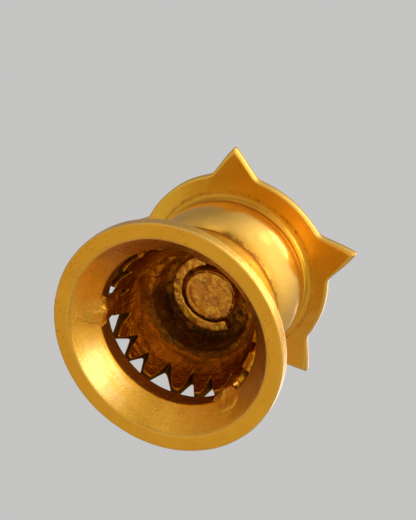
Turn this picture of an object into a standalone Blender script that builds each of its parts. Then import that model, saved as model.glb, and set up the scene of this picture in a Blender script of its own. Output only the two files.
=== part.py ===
"""Footed five-point puja lamp in cast brass: hollow foot, toothed cup, riveted star-rimmed dish.

The lamp stands on its foot. Z runs up the axis, the foot's ring face is at z = 0, and one of the
rim's five points faces +Y. Run it with: blender --background --python part.py
"""

import math

import bmesh
import bpy
from mathutils import Matrix, Vector

# Driving dimensions, in metres. Heights are above the face that the foot stands on.
CLEARANCE = 0.0003  # left between pieces that touch on the real lamp

FOOT_RADIUS = 0.0350
FOOT_MOUTH_RADIUS = 0.0303
FOOT_RIM_HEIGHT = 0.0035
FOOT_EDGE_ROUND = 0.0004
THROAT_RADIUS = 0.0240
THROAT_HEIGHT = 0.0083
FOOT_TOP_HEIGHT = 0.0132
FOOT_TOP_RADIUS = 0.0263

TOOTH_COUNT = 20
TOOTH_VALLEY_ANGLE = math.radians(6.2)
TOOTH_TIP_HEIGHT = 0.0143
TOOTH_VALLEY_HEIGHT = 0.0214
CROWN_INNER_RADIUS = 0.0237
CROWN_OUTER_RADIUS = 0.0260
CROWN_TAPER = 0.0008
CROWN_ROOT_HEIGHT = 0.0220
TOOTH_SLOPE_SHARE = 0.4  # of a tooth's pitch, from the bottom of a notch to a flat tip

CUP_BELLY_CENTRE = (0.0140, 0.0170)
CUP_BELLY_RADII = (0.0120, 0.0160)
CUP_BELLY_ANGLES = (18.2, 58.5)
CUP_SHELF_OUTER_RADIUS = 0.0222
CUP_SHELF_HEIGHT = 0.0232
RECESS_RADIUS = 0.0152
RECESS_HEIGHT = 0.0248
RECESS_EDGE_ROUND = 0.0006
RECESS_CORNER = 0.0014
END_WALL_HEIGHT = 0.0350
END_WALL_TOP = 0.0378
SPIGOT_RADIUS = 0.0175

SEAM_HEIGHT = 0.0315
SEAM_LAND_RADIUS = 0.0191
SEAM_BEVEL = 0.0007

BULGE_RADIUS = 0.0140
BULGE_CENTRE_RADIUS = 0.0106
BULGE_CENTRE_HEIGHT = 0.0427
CREASE_HEIGHT = 0.04865
FLANGE_ROOT_RADIUS = 0.0258
FLANGE_UNDERSIDE = 0.0505
FLANGE_THICKNESS = 0.0026
FLANGE_RADIUS = 0.0310
FLANGE_EDGE_ROUND = 0.0004

# The rim was laid out and filed by hand: each point's angle in degrees, how far it reaches from
# the axis, and the radius of the plain arc that follows it.
POINTS = (
    (-125.0, 0.0396, 0.0311),
    (-52.0, 0.0404, 0.0300),
    (15.4, 0.0382, 0.0304),
    (90.0, 0.0395, 0.0308),
    (156.7, 0.0392, 0.0310),
)
POINT_HALF_ANGLE = 13.5
POINT_HOLLOW = 1.25
POINT_ROUND = 0.04
STEPS_PER_POINT = 20
WICK_GROOVE_RADIUS = 0.0017
WICK_GROOVE_DEPTH = 0.0010
WICK_GROOVE_START = 0.0192
WICK_GROOVE_END = 0.0362
WICK_GROOVE_TAPER = 0.6

WELL_RADIUS = 0.0212
WELL_FLOOR = 0.0415
WELL_CORNER_RADIUS = 0.0042
WELL_LIP_ROUND = 0.0014

RIVET_SHANK_RADIUS = 0.0060
RIVET_BOSS_RADIUS = 0.0082
RIVET_BOSS_FACE = 0.0320
RIVET_DOME_RADIUS = 0.0090
RIVET_DOME_HEIGHT = 0.0024
RIVET_EDGE_ROUND = 0.0005

COLLAR_INNER_RADIUS = 0.0091
COLLAR_OUTER_RADIUS = 0.0124
COLLAR_THICKNESS = 0.0020
COLLAR_EDGE_ROUND = 0.0006
COLLAR_START = math.radians(26.0)
COLLAR_ARC = math.radians(200.0)

BEAD_INNER_RADIUS = 0.01964
BEAD_RADIUS = 0.0208
BEAD_HALF_HEIGHT = 0.0005
BEAD_ROUND = 0.0004

# Each lug's middle and width round the axis, in degrees.
LUGS = {"lug_left": (144.0, 16.0), "lug_right": (15.0, 17.0), "lug_front": (-105.0, 17.0)}
LUG_LOW_HEIGHT = 0.0050
LUG_TOP_HEIGHT = 0.0200
LUG_THICKNESS = 0.0014
LUG_SEAT = 0.0004  # how far a lug's face stands off the metal that it is brazed to

SHARP_ANGLE = math.radians(35.0)
EDGE_TOLERANCE = 0.0001
MERGE_DISTANCE = 0.00001

# Colour, roughness and metallic value of each finish.
FINISHES = {
    "polished_brass": ((0.72, 0.38, 0.055, 1.0), 0.24, 1.0),
    "turned_brass": ((0.56, 0.26, 0.030, 1.0), 0.34, 1.0),
    "cast_brass": ((0.40, 0.19, 0.030, 1.0), 0.48, 1.0),
    "braze": ((0.30, 0.10, 0.025, 1.0), 0.55, 1.0),
}


def clear_scene():
    for thing in list(bpy.data.objects):
        bpy.data.objects.remove(thing, do_unlink=True)


def finish(name):
    """Returns the named Principled material, made on first use."""
    found = bpy.data.materials.get(name)
    if found:
        return found
    colour, roughness, metallic = FINISHES[name]
    made = bpy.data.materials.new(name)
    made.use_nodes = True
    shader = made.node_tree.nodes["Principled BSDF"]
    shader.inputs["Base Color"].default_value = colour
    shader.inputs["Roughness"].default_value = roughness
    shader.inputs["Metallic"].default_value = metallic
    made.diffuse_color = colour
    return made


def arc(centre_r, centre_z, radius_r, radius_z, start, end, steps):
    """Points (r, z) along an elliptical arc, with angles in degrees from +r towards +z."""
    points = []
    for step in range(steps + 1):
        angle = math.radians(start + (end - start) * step / steps)
        points.append((centre_r + radius_r * math.cos(angle), centre_z + radius_z * math.sin(angle)))
    return points


def section_face(mesh, section, angle):
    """Adds one face that holds a closed (r, z) section, in the half plane at an angle round Z."""
    corners = [
        mesh.verts.new((r * math.cos(angle), r * math.sin(angle), z)) for r, z in section
    ]
    return mesh.faces.new(corners)


def turned_ring(section, steps, start=0.0):
    """A closed section that never meets the axis, turned the whole way round it."""
    mesh = bmesh.new()
    face = section_face(mesh, section, start)
    edges = list(face.edges)
    bmesh.ops.delete(mesh, geom=[face], context="FACES_ONLY")
    bmesh.ops.spin(
        mesh,
        geom=edges,
        axis=(0, 0, 1),
        cent=(0, 0, 0),
        angle=2 * math.pi,
        steps=steps,
        use_merge=True,
    )
    bmesh.ops.recalc_face_normals(mesh, faces=mesh.faces)
    return mesh


def turned_solid(section, steps):
    """A section whose first and last points lie on the axis, turned the whole way round it."""
    mesh = bmesh.new()
    corners = [mesh.verts.new((r, 0, z)) for r, z in section]
    edges = [mesh.edges.new(pair) for pair in zip(corners, corners[1:])]
    bmesh.ops.spin(
        mesh,
        geom=edges,
        axis=(0, 0, 1),
        cent=(0, 0, 0),
        angle=2 * math.pi,
        steps=steps,
        use_merge=True,
    )
    bmesh.ops.remove_doubles(mesh, verts=mesh.verts, dist=MERGE_DISTANCE)
    bmesh.ops.recalc_face_normals(mesh, faces=mesh.faces)
    return mesh


def turned_arc(section, start, angle, steps):
    """A closed section turned through part of a circle, with both ends closed."""
    mesh = bmesh.new()
    face = section_face(mesh, section, start)
    bmesh.ops.spin(
        mesh, geom=[face], axis=(0, 0, 1), cent=(0, 0, 0), angle=angle, steps=steps
    )
    section_face(mesh, section, start)
    bmesh.ops.remove_doubles(mesh, verts=mesh.verts, dist=MERGE_DISTANCE)
    bmesh.ops.recalc_face_normals(mesh, faces=mesh.faces)
    return mesh


def add_piece(name, mesh, material):
    """Makes a named object of a bmesh, shaded smooth across its round faces."""
    data = bpy.data.meshes.new(name)
    mesh.to_mesh(data)
    mesh.free()
    data.shade_smooth()
    data.set_sharp_from_angle(angle=SHARP_ANGLE)
    data.materials.append(finish(material))
    piece = bpy.data.objects.new(name, data)
    bpy.context.scene.collection.objects.link(piece)
    return piece


def foot_ring():
    """The flared hollow foot: flat ring face, conical mouth, plain throat, hollow-curved back."""
    back_r = FOOT_RADIUS - FOOT_TOP_RADIUS
    back_z = FOOT_TOP_HEIGHT - FOOT_RIM_HEIGHT
    section = [
        (FOOT_RADIUS - FOOT_EDGE_ROUND, 0),
        (FOOT_MOUTH_RADIUS + FOOT_EDGE_ROUND, 0),
        (FOOT_MOUTH_RADIUS, FOOT_EDGE_ROUND / 2),
        (THROAT_RADIUS, THROAT_HEIGHT),
        (THROAT_RADIUS, FOOT_TOP_HEIGHT),
    ]
    section += arc(FOOT_RADIUS, FOOT_TOP_HEIGHT, -back_r, -back_z, 0, 90, 6)
    section += [(FOOT_RADIUS, FOOT_EDGE_ROUND)]
    add_piece("foot_ring", turned_ring(section, 72), "polished_brass")


def tooth_edge(angle):
    """Height of the crown's cut edge at an angle: straight-sided notches between flat tips."""
    pitch = 2 * math.pi / TOOTH_COUNT
    from_valley = abs((angle - TOOTH_VALLEY_ANGLE + pitch / 2) % pitch - pitch / 2)
    share = min(from_valley / (TOOTH_SLOPE_SHARE * pitch), 1.0)
    return TOOTH_VALLEY_HEIGHT + share * (TOOTH_TIP_HEIGHT - TOOTH_VALLEY_HEIGHT)


def cut_teeth(mesh, root_inner_radius, root_outer_radius):
    """Raises the lowest two rings of vertices to the cut edge, along the wall's own slopes."""
    middle = (CROWN_INNER_RADIUS + CROWN_OUTER_RADIUS) / 2
    for vertex in mesh.verts:
        x, y, z = vertex.co
        if z > TOOTH_TIP_HEIGHT + EDGE_TOLERANCE:
            continue
        r = math.hypot(x, y)
        angle = math.atan2(y, x)
        edge = tooth_edge(angle)
        share = (edge - TOOTH_TIP_HEIGHT) / (CROWN_ROOT_HEIGHT - TOOTH_TIP_HEIGHT)
        root = root_inner_radius if r < middle else root_outer_radius
        r += share * (root - r)
        vertex.co = (r * math.cos(angle), r * math.sin(angle), edge)


def crown_cup():
    """The cup above the foot: toothed lower edge, shelf, deep recess, end wall and spigot."""
    belly = arc(*CUP_BELLY_CENTRE, *CUP_BELLY_RADII, *CUP_BELLY_ANGLES, 4)
    shoulder = SEAM_HEIGHT - CLEARANCE / 2
    section = [
        (CROWN_OUTER_RADIUS, TOOTH_TIP_HEIGHT),
        (CROWN_INNER_RADIUS, TOOTH_TIP_HEIGHT),
        (CROWN_INNER_RADIUS - CROWN_TAPER, CROWN_ROOT_HEIGHT),
        (CUP_SHELF_OUTER_RADIUS, CUP_SHELF_HEIGHT),
        (RECESS_RADIUS + RECESS_EDGE_ROUND, RECESS_HEIGHT - RECESS_EDGE_ROUND / 3),
        (RECESS_RADIUS, RECESS_HEIGHT + RECESS_EDGE_ROUND),
        (RECESS_RADIUS - RECESS_CORNER / 3, END_WALL_HEIGHT - RECESS_CORNER),
        (RECESS_RADIUS - RECESS_CORNER, END_WALL_HEIGHT),
        (RIVET_SHANK_RADIUS + CLEARANCE, END_WALL_HEIGHT),
        (RIVET_SHANK_RADIUS + CLEARANCE, END_WALL_TOP),
        (SPIGOT_RADIUS, END_WALL_TOP),
        (SPIGOT_RADIUS, shoulder),
        (SEAM_LAND_RADIUS, shoulder),
    ]
    section += reversed(belly)
    mesh = turned_ring(section, 5 * TOOTH_COUNT, TOOTH_VALLEY_ANGLE)
    cut_teeth(mesh, CROWN_INNER_RADIUS - CROWN_TAPER, belly[0][0])
    add_piece("crown_cup", mesh, "turned_brass")


def rim_angle(share):
    """The angle in degrees at a share of the way round, where each point starts a new fifth."""
    number, part = divmod(share * len(POINTS), 1.0)
    number = int(number)
    here = POINTS[number % len(POINTS)][0]
    following = POINTS[(number + 1) % len(POINTS)][0]
    return here + part * ((following - here) % 360.0)


def rim_radius(share):
    """Radius of the rim's outline there: plain arcs that run out into hollow-sided points."""
    number, part = divmod(share * len(POINTS), 1.0)
    angle, reach, arc_radius = POINTS[int(number) % len(POINTS)]
    next_angle, next_reach, _ = POINTS[(int(number) + 1) % len(POINTS)]
    span = (next_angle - angle) % 360.0
    if part > 0.5:
        part = 1.0 - part
        reach = next_reach
    from_point = math.hypot(part * span / POINT_HALF_ANGLE, POINT_ROUND)
    rise = (max(0.0, 1.0 - from_point) / (1.0 - POINT_ROUND)) ** POINT_HOLLOW
    return arc_radius + (reach - arc_radius) * rise


def star_dish():
    """The dish: socket, bulging bowl, cavetto, star-shaped rim and the open oil well."""
    top = FLANGE_UNDERSIDE + FLANGE_THICKNESS
    land = SEAM_HEIGHT + CLEARANCE / 2
    socket_r = SPIGOT_RADIUS + CLEARANCE
    socket_top = END_WALL_TOP + CLEARANCE
    hole_r = RIVET_SHANK_RADIUS + CLEARANCE
    start = math.degrees(math.asin((land + SEAM_BEVEL - BULGE_CENTRE_HEIGHT) / BULGE_RADIUS))
    end = math.degrees(math.asin((CREASE_HEIGHT - BULGE_CENTRE_HEIGHT) / BULGE_RADIUS))
    bulge = arc(
        BULGE_CENTRE_RADIUS, BULGE_CENTRE_HEIGHT, BULGE_RADIUS, BULGE_RADIUS, start, end, 6
    )
    crease_r = bulge[-1][0]
    cavetto = arc(
        FLANGE_ROOT_RADIUS,
        CREASE_HEIGHT,
        crease_r - FLANGE_ROOT_RADIUS,
        FLANGE_UNDERSIDE - CREASE_HEIGHT,
        0,
        90,
        2,
    )
    lip = arc(
        WELL_RADIUS + WELL_LIP_ROUND, top - WELL_LIP_ROUND, WELL_LIP_ROUND, WELL_LIP_ROUND, 90, 180, 2
    )
    corner = arc(
        WELL_RADIUS - WELL_CORNER_RADIUS,
        WELL_FLOOR + WELL_CORNER_RADIUS,
        WELL_CORNER_RADIUS,
        WELL_CORNER_RADIUS,
        0,
        -90,
        2,
    )
    section = [(hole_r, socket_top), (socket_r, socket_top), (socket_r, land), (SEAM_LAND_RADIUS, land)]
    section += bulge + cavetto[1:]
    section += [
        (FLANGE_RADIUS - FLANGE_EDGE_ROUND, FLANGE_UNDERSIDE),
        (FLANGE_RADIUS, FLANGE_UNDERSIDE + FLANGE_EDGE_ROUND),
        (FLANGE_RADIUS, top - FLANGE_EDGE_ROUND),
        (FLANGE_RADIUS - FLANGE_EDGE_ROUND, top),
    ]
    section += lip + corner + [(hole_r, WELL_FLOOR)]
    mesh = turned_ring(section, STEPS_PER_POINT * len(POINTS))
    shape_rim(mesh)
    dish = add_piece("star_dish", mesh, "polished_brass")
    cut = dish.modifiers.new("wick grooves", "BOOLEAN")
    cut.operation = "DIFFERENCE"
    cut.solver = "EXACT"
    cut.object = wick_groove_cutter(top)


def shape_rim(mesh):
    """Turns each column of vertices to its place round the rim, and runs the edge out to it."""
    columns = STEPS_PER_POINT * len(POINTS)
    edge_start = FLANGE_RADIUS - FLANGE_EDGE_ROUND - EDGE_TOLERANCE
    for vertex in mesh.verts:
        x, y, z = vertex.co
        r = math.hypot(x, y)
        share = round(math.atan2(y, x) / (2 * math.pi) * columns) % columns / columns
        angle = math.radians(rim_angle(share))
        if r > edge_start:
            r += rim_radius(share) - FLANGE_RADIUS
        vertex.co = (r * math.cos(angle), r * math.sin(angle), z)


def wick_groove_cutter(top):
    """Round bars that lie in the rim's top face, one along each of its points."""
    mesh = bmesh.new()
    length = WICK_GROOVE_END - WICK_GROOVE_START
    height = top + WICK_GROOVE_RADIUS - WICK_GROOVE_DEPTH
    for angle, _, _ in POINTS:
        place = (
            Matrix.Rotation(math.radians(angle), 4, "Z")
            @ Matrix.Translation((WICK_GROOVE_START + length / 2, 0, height))
            @ Matrix.Rotation(math.pi / 2, 4, "Y")
        )
        bmesh.ops.create_cone(
            mesh,
            cap_ends=True,
            segments=10,
            radius1=WICK_GROOVE_RADIUS,
            radius2=WICK_GROOVE_RADIUS * WICK_GROOVE_TAPER,
            depth=length,
            matrix=place,
        )
    bmesh.ops.recalc_face_normals(mesh, faces=mesh.faces)
    cutter = add_piece("wick_groove_cutter", mesh, "polished_brass")
    cutter.hide_render = True
    cutter.display_type = "WIRE"
    return cutter


def neck_braze():
    """The bead of braze that fills the bevelled seam between the cup and the dish."""
    section = [
        (BEAD_INNER_RADIUS, SEAM_HEIGHT),
        (BEAD_RADIUS - BEAD_ROUND, SEAM_HEIGHT - BEAD_HALF_HEIGHT),
        (BEAD_RADIUS, SEAM_HEIGHT - BEAD_HALF_HEIGHT / 2),
        (BEAD_RADIUS, SEAM_HEIGHT + BEAD_HALF_HEIGHT / 2),
        (BEAD_RADIUS - BEAD_ROUND, SEAM_HEIGHT + BEAD_HALF_HEIGHT),
    ]
    add_piece("neck_braze", turned_ring(section, 48), "braze")


def tenon_rivet():
    """The rivet that holds cup and dish together: flat boss below, low dome in the well."""
    seat_low = END_WALL_HEIGHT - CLEARANCE
    seat_high = WELL_FLOOR + CLEARANCE
    dome = arc(0, seat_high, RIVET_DOME_RADIUS, RIVET_DOME_HEIGHT, 0, 90, 4)
    section = [
        (0, RIVET_BOSS_FACE),
        (RIVET_BOSS_RADIUS - RIVET_EDGE_ROUND, RIVET_BOSS_FACE),
        (RIVET_BOSS_RADIUS, RIVET_BOSS_FACE + RIVET_EDGE_ROUND),
        (RIVET_BOSS_RADIUS, seat_low),
        (RIVET_SHANK_RADIUS, seat_low),
        (RIVET_SHANK_RADIUS, seat_high),
    ]
    section += dome[:-1] + [(0, seat_high + RIVET_DOME_HEIGHT)]
    add_piece("tenon_rivet", turned_solid(section, 36), "cast_brass")


def rivet_collar():
    """The broken collar round the rivet's boss, a washer with part of its ring missing."""
    high = END_WALL_HEIGHT - CLEARANCE
    low = high - COLLAR_THICKNESS
    section = [
        (COLLAR_INNER_RADIUS, high),
        (COLLAR_INNER_RADIUS, low + COLLAR_EDGE_ROUND / 2),
        (COLLAR_INNER_RADIUS + COLLAR_EDGE_ROUND / 2, low),
        (COLLAR_OUTER_RADIUS - COLLAR_EDGE_ROUND, low),
        (COLLAR_OUTER_RADIUS, low + COLLAR_EDGE_ROUND),
        (COLLAR_OUTER_RADIUS, high),
    ]
    mesh = turned_arc(section, COLLAR_START, COLLAR_ARC, 28)
    add_piece("rivet_collar", mesh, "cast_brass")


def bridge_lug(name, middle, width):
    """A brazed tab that lies in the foot's mouth and throat and reaches up inside the crown."""
    slope = Vector((THROAT_RADIUS - FOOT_MOUTH_RADIUS, THROAT_HEIGHT)).normalized()
    inward = Vector((-slope.y, slope.x))
    low_r = FOOT_MOUTH_RADIUS + slope.x / slope.y * LUG_LOW_HEIGHT
    low = Vector((low_r, LUG_LOW_HEIGHT)) + inward * LUG_SEAT
    throat_r = THROAT_RADIUS - CLEARANCE
    crown_r = CROWN_INNER_RADIUS - LUG_SEAT
    section = [
        tuple(low),
        (throat_r, THROAT_HEIGHT - CLEARANCE),
        (throat_r, FOOT_TOP_HEIGHT),
        (crown_r, TOOTH_TIP_HEIGHT),
        (crown_r - CROWN_TAPER, LUG_TOP_HEIGHT),
        (crown_r - CROWN_TAPER - LUG_THICKNESS / 3, LUG_TOP_HEIGHT - LUG_THICKNESS / 3),
        (crown_r - LUG_THICKNESS, TOOTH_TIP_HEIGHT),
        (throat_r - LUG_THICKNESS, THROAT_HEIGHT - LUG_THICKNESS / 2),
        tuple(low + inward * LUG_THICKNESS * 0.4),
    ]
    half = math.radians(width) / 2
    mesh = turned_arc(section, math.radians(middle) - half, 2 * half, 5)
    add_piece(name, mesh, "polished_brass")


def main():
    clear_scene()
    foot_ring()
    crown_cup()
    star_dish()
    neck_braze()
    tenon_rivet()
    rivet_collar()
    for name, (middle, width) in LUGS.items():
        bridge_lug(name, middle, width)


main()
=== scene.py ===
"""Fine shape and finish of a footed five-point puja lamp in cast brass, built round its CAD frame.

Each operator makes one piece of the lamp in metres, where the frame has it, and the last one
makes the studio. main() runs them in order.
"""

import math

import bmesh
import bpy
from bpy.props import FloatProperty, FloatVectorProperty, PointerProperty
from mathutils import Matrix, Vector, noise


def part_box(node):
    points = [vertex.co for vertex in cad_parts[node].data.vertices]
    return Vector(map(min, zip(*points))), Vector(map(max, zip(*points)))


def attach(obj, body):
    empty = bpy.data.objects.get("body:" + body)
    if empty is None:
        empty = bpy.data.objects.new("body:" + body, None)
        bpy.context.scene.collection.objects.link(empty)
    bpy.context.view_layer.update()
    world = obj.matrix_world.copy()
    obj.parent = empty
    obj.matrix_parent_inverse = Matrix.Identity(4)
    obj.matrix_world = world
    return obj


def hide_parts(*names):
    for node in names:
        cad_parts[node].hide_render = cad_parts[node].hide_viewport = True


bl_info = {
    "name": "Puja Lamp Maker",
    "version": (1, 0, 0),
    "blender": (4, 5, 0),
    "location": "View3D > Sidebar > Puja Lamp",
    "description": "Builds a footed five-point puja lamp in worn cast brass",
    "category": "Object",
}

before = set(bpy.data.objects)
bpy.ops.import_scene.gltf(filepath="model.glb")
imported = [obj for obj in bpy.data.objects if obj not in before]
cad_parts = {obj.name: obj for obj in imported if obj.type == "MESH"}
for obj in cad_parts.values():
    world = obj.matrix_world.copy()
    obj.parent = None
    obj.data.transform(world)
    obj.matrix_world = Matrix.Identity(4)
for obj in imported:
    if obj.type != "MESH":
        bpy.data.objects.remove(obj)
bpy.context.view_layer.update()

FOOT_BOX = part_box("foot_ring")
CUP_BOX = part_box("crown_cup")
DISH_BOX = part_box("star_dish")
RIVET_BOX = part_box("tenon_rivet")
COLLAR_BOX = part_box("rivet_collar")
BRAZE_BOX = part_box("neck_braze")
SEAM_HEIGHT = (BRAZE_BOX[0].z + BRAZE_BOX[1].z) / 2

TURN = 2 * math.pi
MERGE = 0.000004

# Steps round the axis: the foot's and the cup's, and the rim's for each of its points.
FOOT_STEPS = 360
CUP_STEPS = 640
RIM_STEPS = 120

# Each sawn notch of the crown: its top round the axis in degrees, its widths towards higher and
# lower angles, and the height of its top.
NOTCHES = (
    (131.7, 5.5, 10.5, 0.0214),
    (111.9, 8.6, 6.0, 0.0212),
    (96.4, 5.8, 6.4, 0.0209),
    (78.6, 4.8, 13.5, 0.0222),
    (58.2, 3.0, 9.0, 0.0222),
    (41.5, 3.5, 8.0, 0.0214),
    (22.0, 6.0, 6.5, 0.0204),
    (5.0, 5.0, 6.0, 0.0200),
    (-20.5, 4.5, 5.5, 0.0186),
    (-42.0, 5.0, 6.0, 0.0180),
    (-61.0, 6.0, 6.0, 0.0185),
    (-80.0, 6.0, 6.5, 0.0188),
    (-98.5, 6.5, 6.0, 0.0186),
    (-117.0, 6.0, 6.6, 0.0190),
    (-135.0, 6.4, 6.0, 0.0187),
    (-154.0, 6.0, 7.0, 0.0195),
    (-172.0, 6.5, 6.0, 0.0200),
    (169.0, 6.5, 6.5, 0.0206),
    (152.0, 7.5, 7.0, 0.0212),
)

# How the cup's inner wall curves in above the teeth: a quarter of an ellipse in (r, z).
CURVE_CENTRE = 0.0150
CURVE_REACH = 0.0087
CURVE_RISE = 0.0104
CROWN_INNER = CURVE_CENTRE + CURVE_REACH
TOOTH_ROOT = 0.0221
WALL_END = 0.0256

# The crown sits this far off the axis, towards -90 degrees, and this far inside its own circle.
CROWN_OFFSET = 0.0011
CROWN_INSET = 0.0013

# The wall leans in further round this angle in degrees, by this much inside and outside.
LEAN_SIDE = -14.0
LEAN_INSIDE = 0.0013
LEAN_OUTSIDE = 0.0018

# A notch's slopes: how soft its top is, and the share of the slope that its blunt tip takes up.
NOTCH_SOFTNESS = 0.16
BLUNT_SHARE = 0.16

# The bulge of the dish: the centre and radius of its arc, the crease that ends it, and the
# radius where the hollow above it meets the rim.
BULGE_CENTRE = (0.0106, 0.0427)
BULGE_RADIUS = 0.0140
CREASE = 0.04865
HOLLOW_RADIUS = 0.0258
RIM_RADIUS = 0.0310

FLOOR_REACH = 1.5
FLOOR_DROP = 0.0006

# The rim's points: angle in degrees, reach, and the radius of the plain arc after each. Each
# side of a point takes up POINT_WIDTH degrees.
POINTS = (
    (-125.0, 0.0396, 0.0311),
    (-52.0, 0.0404, 0.0300),
    (15.4, 0.0382, 0.0304),
    (90.0, 0.0395, 0.0308),
    (156.7, 0.0392, 0.0310),
)
POINT_WIDTH = 13.5


def length(name, description, value):
    """A length in metres that the panel shows."""
    return FloatProperty(name=name, description=description, default=value, unit="LENGTH")


class LampSizes(bpy.types.PropertyGroup):
    """Sizes of the lamp. Heights are above the face that it stands on."""

    foot_radius: length("Foot radius", "Radius of the foot's outer edge", FOOT_BOX[1].x)
    foot_height: length(
        "Foot height", "Height of the foot's top edge, which the crown is joined to", FOOT_BOX[1].z
    )
    mouth_radius: length(
        "Mouth radius", "Inner radius of the flat ring that the lamp stands on", 0.0303
    )
    throat_radius: length(
        "Throat radius", "Radius of the straight throat at the top of the foot's cone", 0.0240
    )
    throat_height: length("Throat height", "Height at which the cone meets the throat", 0.0083)
    crown_radius: length("Crown radius", "Outer radius of the cup's toothed edge", CUP_BOX[1].x)
    tooth_height: length(
        "Tooth tip height", "Height of the tips of the crown's teeth", CUP_BOX[0].z
    )
    recess_radius: length("Recess radius", "Radius of the rough recess in the cup", 0.0152)
    end_wall_height: length("End wall height", "Height of the wall that closes the recess", 0.0350)
    seam_height: length("Seam height", "Height of the seam of cup and dish", SEAM_HEIGHT)
    rim_top: length("Rim top", "Height of the rim's upper face", DISH_BOX[1].z)
    rim_thickness: length("Rim thickness", "Thickness of the star rim", 0.0026)
    well_radius: length("Well radius", "Radius of the open oil well", 0.0212)
    boss_radius: length("Boss radius", "Radius of the rivet's flat boss", 0.0082)


def tint(name, description, value):
    """A colour that the panel shows."""
    return FloatVectorProperty(
        name=name, description=description, default=value, size=3, subtype="COLOR", min=0, max=1
    )


class LampColours(bpy.types.PropertyGroup):
    """Colours of the metal, its wear and its patina."""

    gold: tint("Gold", "Polished brass", (0.90, 0.45, 0.020))
    warm: tint("Warm", "Brass under thin lacquer and handling", (0.84, 0.37, 0.010))
    # Orange also paints shade on one side of the dish's rim.
    orange: tint("Orange", "Satin brass turned orange with age", (0.72, 0.26, 0.004))
    # Brown also paints shade on one side of the dish's hollow.
    brown: tint("Brown", "Brass under brown patina", (0.36, 0.11, 0.007))
    # Dark also paints shade on one side of the cup's recess.
    dark: tint("Dark", "Soot in the deepest corners", (0.035, 0.014, 0.005))
    # Burnished also paints the glint specks on the foot.
    burnished: tint("Burnished", "Edges rubbed bright", (0.98, 0.64, 0.17))
    rust: tint("Rust", "Red-brown of pits and braze", (0.22, 0.055, 0.010))
    # Rubbed paints the cone's pale patch: partly wear, partly a painted highlight.
    rubbed: tint("Rubbed", "Pale rubbed patch on the cone", (0.98, 0.68, 0.24))
    wall: tint("Wall", "The cup's inner wall", (0.36, 0.085, 0.002))
    wall_stain: tint("Wall stain", "Stains on that wall", (0.15, 0.029, 0.001))
    wall_edge: tint("Wall edge", "That wall near its teeth", (0.62, 0.17, 0.004))
    raw: tint("Raw", "Raw casting in the recess", (0.80, 0.29, 0.010))
    green: tint("Green", "Verdigris in the recess", (0.085, 0.068, 0.014))
    # Sawn is both soot and painted shade on the cut faces.
    sawn: tint("Sawn", "Soot on the sawn faces", (0.055, 0.018, 0.003))
    grazing: tint("Grazing", "The cup's grazing reflection", (0.40, 0.20, 0.07))
    # Belly is partly polish and partly a painted highlight on the bulge.
    belly: tint("Belly", "Pale band round the bulge", (0.96, 0.60, 0.16))
    rim: tint("Rim", "Polish of the rim", (0.90, 0.50, 0.025))
    # This colour is painted shade on one side of the rim.
    rim_painted_shade: tint("Dull rim", "The rim's dull side", (0.58, 0.31, 0.020))
    neck: tint("Neck", "Stain beside the brazed seam", (0.34, 0.090, 0.010))
    floor: tint("Floor", "The studio's plain floor", (0.72, 0.70, 0.68))
    floor_cloud: tint("Floor cloud", "Clouds in its paint", (0.60, 0.59, 0.575))
    backdrop: tint("Backdrop", "The studio's plain backdrop", (0.56, 0.555, 0.55))


# ---- shader maths


def arithmetic(operation):
    """A method of Value that adds this Math node."""
    return lambda value, other: value.math(operation, other)


class Value:
    """A number in a shader. Python arithmetic on it adds the Math nodes that it stands for."""

    def __init__(self, metal, socket):
        self.metal = metal
        self.socket = socket

    def math(self, operation, *others, first=None):
        values = [first, self] if first is not None else [self]
        sockets = dict(enumerate([*values, *others]))
        return self.metal.add("ShaderNodeMath", {"operation": operation}, sockets).value()

    __add__ = __radd__ = arithmetic("ADD")
    __mul__ = __rmul__ = arithmetic("MULTIPLY")
    __sub__ = arithmetic("SUBTRACT")
    __truediv__ = arithmetic("DIVIDE")
    __pow__ = arithmetic("POWER")
    largest = arithmetic("MAXIMUM")
    smallest = arithmetic("MINIMUM")

    def __rsub__(self, other):
        return self.math("SUBTRACT", first=other)

    def rise(self, low, high):
        """0 below low and 1 above high, with a smooth step between. It falls if low > high."""
        settings = {"interpolation_type": "SMOOTHSTEP", "clamp": True}
        if low > high:
            return 1 - self.rise(high, low)
        sockets = {"Value": self, "From Min": low, "From Max": high}
        return self.metal.add("ShaderNodeMapRange", settings, sockets).value("Result")

    def band(self, low, high, soft):
        """1 between low and high, with soft edges."""
        return self.rise(low - soft, low + soft) * self.rise(high + soft, high - soft)


class Made:
    """A node that has been added, whose outputs are read by name or number."""

    def __init__(self, metal, node):
        self.metal = metal
        self.node = node

    def value(self, name=0):
        return Value(self.metal, self.node.outputs[name])


class Tree:
    """A node tree being put together, with the coordinates that its patterns are laid out in."""

    def __init__(self, tree, coordinates):
        self.tree = tree
        self.place = self.add("ShaderNodeTexCoord").value(coordinates)
        split = self.add("ShaderNodeSeparateXYZ", {}, {"Vector": self.place})
        self.x, self.y, self.z = (split.value(axis) for axis in "XYZ")
        self.r = (self.x * self.x + self.y * self.y) ** 0.5

    def add(self, kind, settings=None, sockets=None):
        """Adds a node, makes its settings, then fills its sockets with links or plain values."""
        node = self.tree.nodes.new(kind)
        for name, setting in (settings or {}).items():
            setattr(node, name, setting)
        for name, filling in (sockets or {}).items():
            self.fill(node.inputs[name], filling)
        return Made(self, node)

    def fill(self, socket, filling):
        if isinstance(filling, Value):
            self.tree.links.new(filling.socket, socket)
        elif socket.type == "RGBA" and len(filling) == 3:
            socket.default_value = (*filling, 1.0)
        else:
            socket.default_value = filling

    def mix(self, share, under, over):
        """The colour under, with this share of the colour over it."""
        settings = {"data_type": "RGBA", "clamp_factor": True}
        return self.add("ShaderNodeMix", settings, {0: share, 6: under, 7: over}).value(2)


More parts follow.
